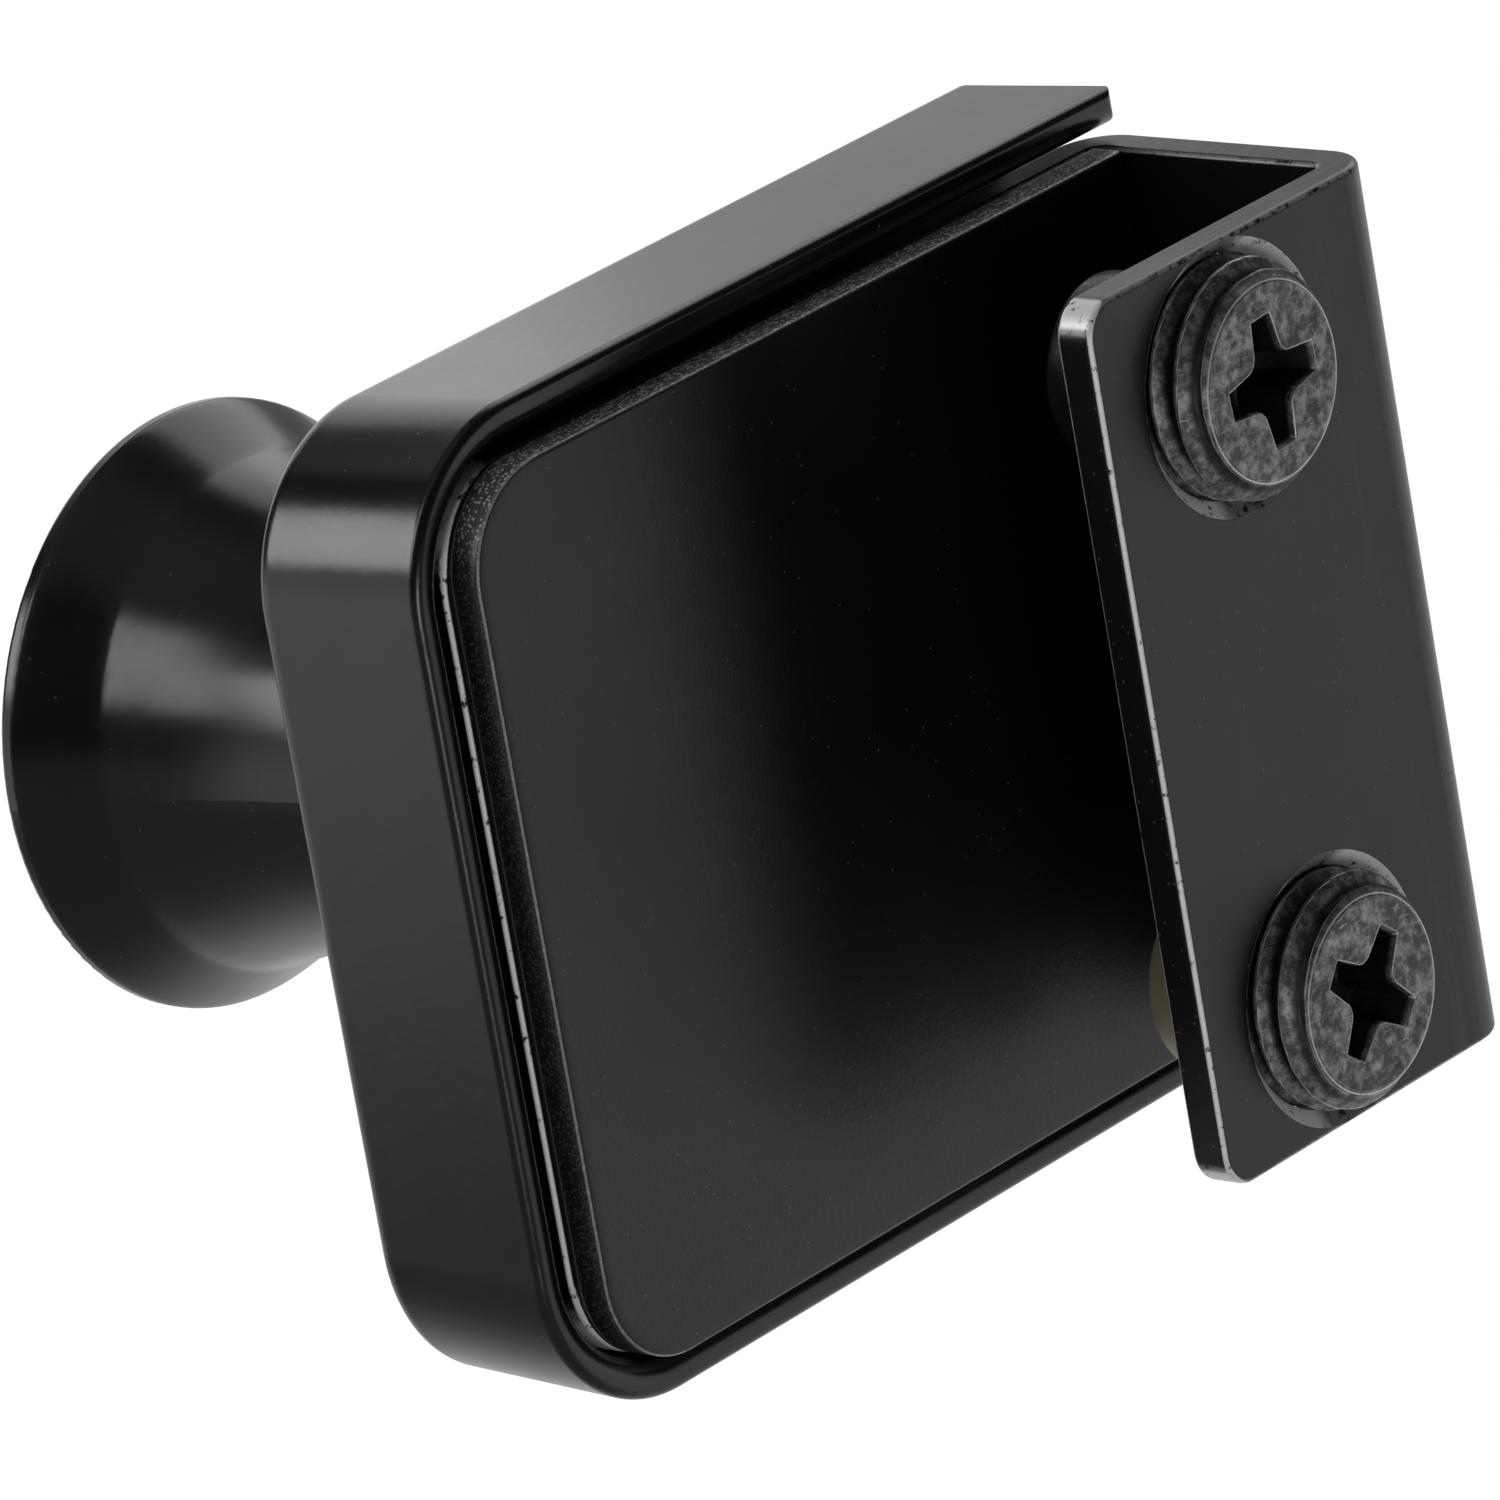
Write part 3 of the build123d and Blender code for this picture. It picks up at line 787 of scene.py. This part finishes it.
def screw_finish(colours):
    """Blackened steel, scuffed: mottled dark and pale patches, fine scratches, pale crests and rims, and
    painted shade, near black and without metal gloss, in the recess and in the grooves of the thread."""
    recess_reach = 2.5 * MM
    groove_radius, crest_start = 3.5 * MM, 3.75 * MM
    # Depths below the end face over which the painted shade in the recess fades in.
    shade_depth, shade_start = 0.3 * MM, 0.1 * MM
    finish = Finish("clamp_screw_steel", specular_ior_level=0.3)
    grain = finish.grain(900.0, 4200.0, 0.34, 0.58)
    rims = finish.effect("edge_wear", radius=0.11 * MM, amount=0.7, noise_scale=2600.0)
    position = finish.object_position()
    blotches = finish.ramp(finish.noise(position, 1900.0, 6.0, 0.75), 0.4, 0.68)
    slanted = finish.stretched(position, (1.0, 1.0, 9.0), turn=(0.3, 0.5, 0.9))
    scratches = finish.ramp(finish.noise(slanted, 1700.0, 3.0, 0.6), 0.6, 0.72)
    pale = finish.product(finish.largest(blotches, scratches), 0.6)
    scuffed = finish.mix(pale, rgba(colours.screw_dark), rgba(colours.screw_scuffed))

    end_y = float(corners("upper_clamp_screw")[1][1])
    at = finish.parts(position)
    from_axis = from_screw_axis(finish, at)
    # Painted shade: the recess and the grooves of the thread are painted near black.
    below_face = finish.ramp(at["Y"], end_y - shade_depth, end_y - shade_start, 1.0, 0.0)
    in_recess = finish.math("LESS_THAN", from_axis, recess_reach)
    in_groove = finish.ramp(from_axis, groove_radius, crest_start, 0.9, 0.0)
    painted_shade = finish.product(below_face, finish.largest(in_recess, in_groove))
    unshaded = finish.math("SUBTRACT", 1.0, painted_shade)
    rubbed = finish.mix(finish.product(rims["Mask"], unshaded), scuffed, grey(0.85))
    # The painted shade: near black and without metal gloss.
    finish.set("Base Color", finish.mix(painted_shade, rubbed, grey(0.004)))
    finish.set("Metallic", finish.product(unshaded, 0.75))
    height = finish.math("ADD", finish.product(blotches, 0.6), grain["Height"])
    finish.bump(height, 0.35, 0.02 * MM, rims["Normal"])
    return finish.material


def grimy_finish(finish, grain, edge, tone, grime):
    """A cloudy colour with grime along its edges and a fine bump."""
    finish.set("Base Color", finish.mix(finish.product(edge["Mask"], 0.5), tone, rgba(grime)))
    finish.bump(grain["Height"], 0.2, 0.02 * MM, edge["Normal"])
    return finish.material


def nylon_finish(colours):
    """Cream nylon: slightly waxy, with cloudy colour and grime along its edges."""
    finish = Finish("cream_nylon", ior=1.53, specular_ior_level=0.45, subsurface_weight=0.08)
    grain = finish.grain(400.0, 3000.0, 0.36, 0.5)
    edge = finish.effect("edge_wear", radius=0.2 * MM, amount=0.5, noise_scale=2500.0)
    tone = finish.cloudy(grain, colours.nylon, 0.72)
    return grimy_finish(finish, grain, edge, tone, (0.16, 0.14, 0.09))


def zinc_finish(colours):
    """Zinc plating: bright metal with a fine uneven grain and dull edges."""
    finish = Finish("zinc_plated", metallic=1.0)
    grain = finish.grain(500.0, 3600.0, 0.24, 0.42)
    edge = finish.effect("edge_wear", radius=0.12 * MM, amount=0.5, noise_scale=2400.0)
    tone = finish.cloudy(grain, colours.zinc, 0.8)
    return grimy_finish(finish, grain, edge, tone, (0.35, 0.35, 0.34))


def adhesive_finish(name, film):
    """Adhesive film: slightly glossy and cloudy."""
    finish = Finish(name, ior=1.47)
    grain = finish.grain(300.0, 2500.0, 0.3, 0.5)
    finish.set("Base Color", finish.cloudy(grain, film, 0.8))
    finish.bump(grain["Height"], 0.15, 0.01 * MM)
    return finish.material


def dress(node, material):
    """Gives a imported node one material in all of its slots."""
    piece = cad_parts[node]
    for index in range(len(piece.material_slots)):
        piece.material_slots[index].material = material


def place(piece, body, slot, material, *nodes):
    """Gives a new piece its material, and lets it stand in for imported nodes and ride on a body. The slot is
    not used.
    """
    piece.data.materials.append(material)
    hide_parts(*nodes)
    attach(piece, body)


# Stage


def softbox(name, place_at, size, radiance, tint=(1, 1, 1)):
    """A rectangular light that faces the part from a place. Its power is its radiance, times pi, times its
    area."""
    data = bpy.data.lights.new(name, "AREA")
    data.shape = "RECTANGLE"
    data.size, data.size_y = size
    data.energy = radiance * math.pi * size[0] * size[1]
    data.color = tint
    lamp = bpy.data.objects.new(name, data)
    lamp.matrix_world = Vector(place_at).to_track_quat("Z", "Y").to_matrix().to_4x4()
    lamp.location = place_at
    bpy.context.scene.collection.objects.link(lamp)
    lamp.visible_camera = False


def towards(azimuth, elevation, distance):
    """The place at a distance from the part, in degrees from +X towards +Y and above the horizon."""
    azimuth, elevation = math.radians(azimuth), math.radians(elevation)
    flat = distance * math.cos(elevation)
    return flat * math.cos(azimuth), flat * math.sin(azimuth), distance * math.sin(elevation)


def floor_piece(stage):
    """A wide flat paper floor. Its own glow keeps it even, and its gloss reflection fades towards the
    camera's side, where the studio is dark."""
    half = 6.0
    camera_side = (0.85, 0.5, 0.0)
    fade_start, fade_end, dark_share = -0.09, 0.03, 0.32
    glow_strength, glow_share = 1.2, 0.88
    points = [(-half, -half, stage.floor_height), (half, -half, stage.floor_height),
              (half, half, stage.floor_height), (-half, half, stage.floor_height)]
    mesh = bpy.data.meshes.new("floor")
    mesh.from_pydata(points, [], [(0, 1, 2, 3)])
    floor = bpy.data.objects.new("floor", mesh)
    bpy.context.scene.collection.objects.link(floor)
    finish = Finish("floor_paper", roughness=0.9, specular_ior_level=0.0)
    position = finish.object_position()
    fibre = finish.noise(position, 40.0, 3.0)
    pale = finish.mix(fibre, rgba(stage.floor_colour), rgba([0.985 * c for c in stage.floor_colour]))
    finish.set("Base Color", pale)
    glow = finish.add("Emission", {"Color": pale, "Strength": glow_strength})
    seen = finish.add("MixShader", {0: glow_share, 1: finish.shader.outputs[0], 2: glow.outputs[0]})
    ahead = finish.dot(position, camera_side)
    level = finish.ramp(ahead, fade_start, fade_end, stage.floor_level, dark_share * stage.floor_level)
    given = finish.add("Emission", {"Color": grey(1), "Strength": level})
    camera_ray = finish.add("LightPath").outputs["Is Camera Ray"]
    mixed = finish.add("MixShader", {0: camera_ray, 1: given.outputs[0], 2: seen.outputs[0]})
    output = next(n for n in finish.tree.nodes if n.type == "OUTPUT_MATERIAL")
    finish.tree.links.new(mixed.outputs[0], output.inputs["Surface"])
    mesh.materials.append(finish.material)


# Soft bright patches of the room: azimuth, elevation, inner and outer half angles in degrees, radiance
ROOM_PATCHES = (
    (0, 80, 8, 34, 0.22),
    (-142, 12, 12, 40, 0.25),
)


def room(stage):
    """The room: pale to the camera, and dim to everything else, with two soft bright patches."""
    world = bpy.data.worlds.new("room")
    bpy.context.scene.world = world
    world.use_nodes = True
    nodes = Nodes(world.node_tree)
    background = next(n for n in world.node_tree.nodes if n.type == "BACKGROUND")
    direction = nodes.add("TexCoord").outputs["Generated"]
    level = stage.room_level
    for azimuth, elevation, inner, outer, radiance in ROOM_PATCHES:
        facing = nodes.dot(direction, towards(azimuth, elevation, 1.0))
        edge, full = math.cos(math.radians(outer)), math.cos(math.radians(inner))
        level = nodes.math("ADD", nodes.ramp(facing, edge, full, 0.0, radiance), level)
    camera_ray = nodes.add("LightPath").outputs["Is Camera Ray"]
    background.inputs["Color"].default_value = grey(1)
    strength = nodes.add("Mix", {0: camera_ray, 2: level, 3: 1.0}, data_type="FLOAT").outputs[0]
    world.node_tree.links.new(strength, background.inputs["Strength"])


def camera():
    """The photograph's camera: 341 mm on a 36 mm square frame, with a roll of ten degrees."""
    frame_width = 36
    focal_pixels, picture_pixels = 14209, 1500
    place_at = (0.32142, 0.29575, 0.14917)
    view_direction = (-0.69268, -0.64622, -0.32030)
    roll = math.radians(-9.997)
    data = bpy.data.cameras.new("camera")
    data.sensor_width = frame_width
    data.lens = frame_width * focal_pixels / picture_pixels
    view = bpy.data.objects.new("camera", data)
    bpy.context.scene.collection.objects.link(view)
    turn = Vector(view_direction).to_track_quat("-Z", "Y") @ Quaternion((0, 0, 1), roll)
    view.matrix_world = turn.to_matrix().to_4x4()
    view.location = place_at
    bpy.context.scene.camera = view


# Operators


class GLASSPULL_OT_stage(bpy.types.Operator):
    """Sets the camera, the pale floor and the soft lights."""

    bl_idname = "glass_pull.stage"
    bl_label = "Stage"

    def execute(self, context):
        stage = context.scene.glass_pull_stage
        camera()
        floor_piece(stage)
        room(stage)
        warm, warmer = (1.0, 0.985, 0.975), (1.0, 0.975, 0.96)
        softbox("top_softbox", (-0.075, -0.132, 0.060), (0.14, 0.11), 0.5, warmer)
        softbox("top_inner", (-0.062, -0.139, 0.060), (0.11, 0.11), 0.55, warmer)
        softbox("corner_strip", towards(-101, 49, 0.30), (0.20, 0.014), 1.3)
        softbox("key_softbox", towards(-43, 24, 0.25), (0.13, 0.10), 5.4, warm)
        softbox("knob_softbox", towards(-16, 35, 0.30), (0.055, 0.17), 4.6, warm)
        softbox("rear_softbox", towards(-166, 38, 0.30), (0.20, 0.20), 1.7)
        softbox("end_panel", towards(-43, -5, 0.25), (0.20, 0.12), 0.9)
        softbox("edge_glint", towards(63, -8, 0.30), (0.10, 0.10), 5.0)
        context.scene.view_settings.view_transform = "Standard"
        context.scene.view_settings.look = "None"
        return {"FINISHED"}


class GLASSPULL_OT_knob(bpy.types.Operator):
    """Finishes the turned knob."""

    bl_idname = "glass_pull.knob"
    bl_label = "Knob"

    def execute(self, context):
        dress("knob", knob_finish(context.scene.glass_pull_colours))
        return {"FINISHED"}


class GLASSPULL_OT_tray(bpy.types.Operator):
    """Finishes the tray behind the knob."""

    bl_idname = "glass_pull.tray"
    bl_label = "Tray"

    def execute(self, context):
        dress("tray", tray_finish(context.scene.glass_pull_colours))
        return {"FINISHED"}


class GLASSPULL_OT_channel(bpy.types.Operator):
    """Finishes the bent steel channel."""

    bl_idname = "glass_pull.channel"
    bl_label = "Clamp Channel"

    def execute(self, context):
        dress("clamp_channel", channel_finish(context.scene.glass_pull_colours))
        return {"FINISHED"}


class GLASSPULL_OT_pad(bpy.types.Operator):
    """Makes the rubber pad."""

    bl_idname = "glass_pull.pad"
    bl_label = "Rubber Pad"

    def execute(self, context):
        sizes = context.scene.glass_pull_soft
        # Where the pad's edge starts to turn paler, from rubbed wear and a painted highlight.
        wear_and_highlight_start = float(corners("glass_pad")[1][0]) - sizes.pad_corner
        material = rubber_finish("pad_rubber", context.scene.glass_pull_colours, wear_and_highlight_start, 1.0)
        place(pad_piece(sizes), "clamp_body", "black_rubber", material, "glass_pad")
        return {"FINISHED"}


class GLASSPULL_OT_clamp_screws(bpy.types.Operator):
    """Makes the two threaded clamp screws."""

    bl_idname = "glass_pull.clamp_screws"
    bl_label = "Clamp Screws"

    def execute(self, context):
        scene = context.scene
        material = screw_finish(scene.glass_pull_colours)
        for side in SIDES:
            piece = clamp_screw_piece(side, scene.glass_pull_screws, scene.glass_pull_soft)
            place(piece, side + "_screw", "blackened_screw_steel", material, side + "_clamp_screw")
        return {"FINISHED"}


class GLASSPULL_OT_tips(bpy.types.Operator):
    """Makes the nylon cups at the clamp screws' tips, the upper disc of rubber and the lower of nylon."""

    bl_idname = "glass_pull.tips"
    bl_label = "Cups And Discs"

    def execute(self, context):
        scene = context.scene
        nylon = nylon_finish(scene.glass_pull_colours)
        rubber = rubber_finish("disc_rubber", scene.glass_pull_colours, 0.0, 0.1)
        for side in SIDES:
            cup = cup_piece(side, scene.glass_pull_soft)
            place(cup, side + "_tip", "cream_nylon", nylon, side + "_pressure_cup")
            disc = disc_piece(side, scene.glass_pull_soft)
            slot, material = ("black_rubber", rubber) if side == "upper" else ("cream_nylon", nylon)
            place(disc, side + "_tip", slot, material, side + "_grip_disc")
        return {"FINISHED"}


class GLASSPULL_OT_hardware(bpy.types.Operator):
    """Finishes the hidden screws, the washer and the adhesive films."""

    bl_idname = "glass_pull.hardware"
    bl_label = "Hidden Hardware"

    def execute(self, context):
        colours = context.scene.glass_pull_colours
        zinc = zinc_finish(colours)
        for node in ("knob_screw", "knob_washer", "upper_flange_screw", "lower_flange_screw"):
            dress(node, zinc)
        black_film = adhesive_finish("black_film", colours.adhesive)
        for node in ("pad_adhesive", "upper_disc_adhesive"):
            dress(node, black_film)
        dress("lower_disc_adhesive", adhesive_finish("pale_film", colours.pale_adhesive))
        return {"FINISHED"}


class GLASSPULL_PT_panel(bpy.types.Panel):
    """Lists the pieces and their settings."""

    bl_idname = "GLASSPULL_PT_panel"
    bl_label = "Glass Door Pull"
    bl_space_type = "VIEW_3D"
    bl_region_type = "UI"
    bl_category = "Glass Pull"

    def draw(self, context):
        scene = context.scene
        for operator in OPERATORS:
            self.layout.operator(operator.bl_idname)
        for settings in (scene.glass_pull_screws, scene.glass_pull_soft, scene.glass_pull_colours,
                         scene.glass_pull_stage):
            box = self.layout.box()
            for name in settings.bl_rna.properties.keys():
                if name not in ("rna_type", "name"):
                    box.prop(settings, name)


OPERATORS = (
    GLASSPULL_OT_stage,
    GLASSPULL_OT_knob,
    GLASSPULL_OT_tray,
    GLASSPULL_OT_channel,
    GLASSPULL_OT_pad,
    GLASSPULL_OT_clamp_screws,
    GLASSPULL_OT_tips,
    GLASSPULL_OT_hardware,
)
SETTINGS = {
    "glass_pull_screws": ClampScrewSizes,
    "glass_pull_soft": SoftPartSizes,
    "glass_pull_colours": FinishColours,
    "glass_pull_stage": StageSettings,
}


def register():
    """Registers the settings, the operators and the panel."""
    for cls in (*SETTINGS.values(), *OPERATORS, GLASSPULL_PT_panel):
        bpy.utils.register_class(cls)
    for name, cls in SETTINGS.items():
        setattr(bpy.types.Scene, name, PointerProperty(type=cls))


def unregister():
    """Takes the settings, the operators and the panel away again."""
    for name in SETTINGS:
        delattr(bpy.types.Scene, name)
    for cls in (GLASSPULL_PT_panel, *OPERATORS, *SETTINGS.values()):
        bpy.utils.unregister_class(cls)


def main():
    """Runs the operators in order."""
    register()
    bpy.ops.glass_pull.stage()
    bpy.ops.glass_pull.knob()
    bpy.ops.glass_pull.tray()
    bpy.ops.glass_pull.channel()
    bpy.ops.glass_pull.pad()
    bpy.ops.glass_pull.clamp_screws()
    bpy.ops.glass_pull.tips()
    bpy.ops.glass_pull.hardware()


if __name__ == "__main__":
    main()
